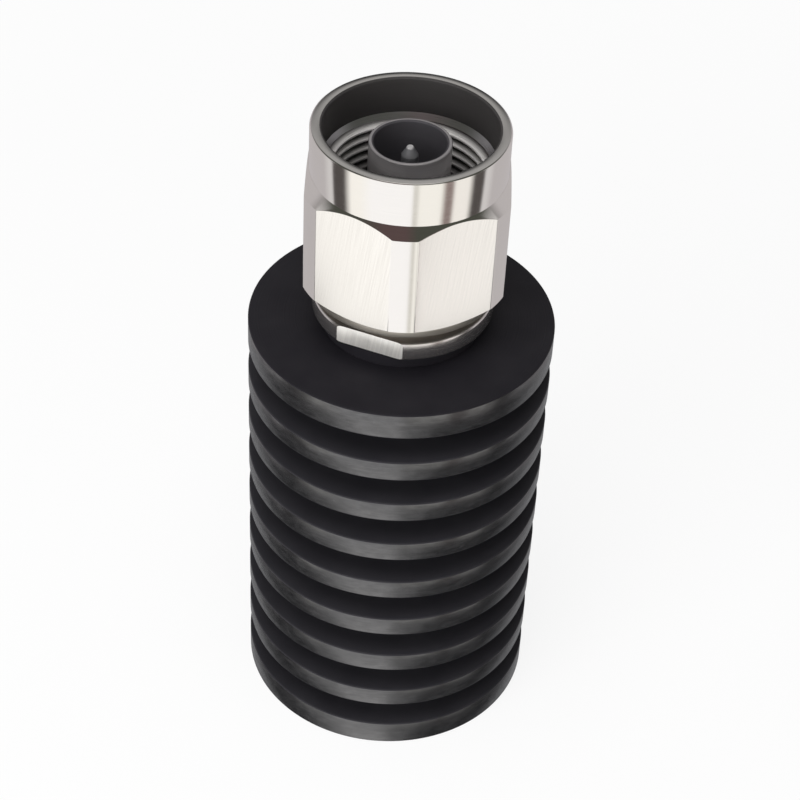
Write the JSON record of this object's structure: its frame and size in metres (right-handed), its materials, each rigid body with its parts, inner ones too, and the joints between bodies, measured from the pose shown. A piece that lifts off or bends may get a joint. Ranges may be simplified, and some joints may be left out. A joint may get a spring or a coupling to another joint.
{
  "type": "rf dummy load",
  "caption": "Coaxial RF dummy load: a screw-on plug with a hexagonal coupling nut on a black ring-finned heat sink that holds the terminating film resistor.",
  "frame": {"origin": "centre of the heat sink's flat base", "axes": "+Z along the long axis from the heat sink to the plug's mouth, -Y towards the picture's camera"},
  "size_m": [0.031, 0.031, 0.0703],
  "materials": {
    "black_anodised": "turned, black anodised, satin",
    "nickel_body": "turned brass, bright nickel plate",
    "nickel_nut": "turned brass with milled flats, bright nickel plate",
    "spring_bronze": "bare spring bronze",
    "seal_rubber": "matte silicone rubber",
    "white_resin": "turned white fluoropolymer",
    "silver_plate": "turned brass, silver plate",
    "bare_copper": "bare turned copper",
    "ceramic_plate": "fired ceramic with a printed film",
    "ceramic_lid": "fired white ceramic",
    "silver_strip": "rolled silver strip"
  },
  "bodies": {
    "load": {"heat_sink": "black_anodised", "connector_body": "nickel_body", "retaining_ring": "spring_bronze", "gasket": "seal_rubber", "insulator": "white_resin", "center_pin": "silver_plate", "resistor_carrier": "bare_copper", "resistor_chip": "ceramic_plate", "resistor_cover": "ceramic_lid", "contact_lead": "silver_strip"},
    "nut": {"coupling_nut": "nickel_nut"}
  },
  "joints": [
    {"name": "nut_spin", "type": "hinge", "parent": "load", "child": "nut", "pos_m": [0, 0, 0.0524], "axis": [0, 0, 1], "continuous": true}
  ]
}
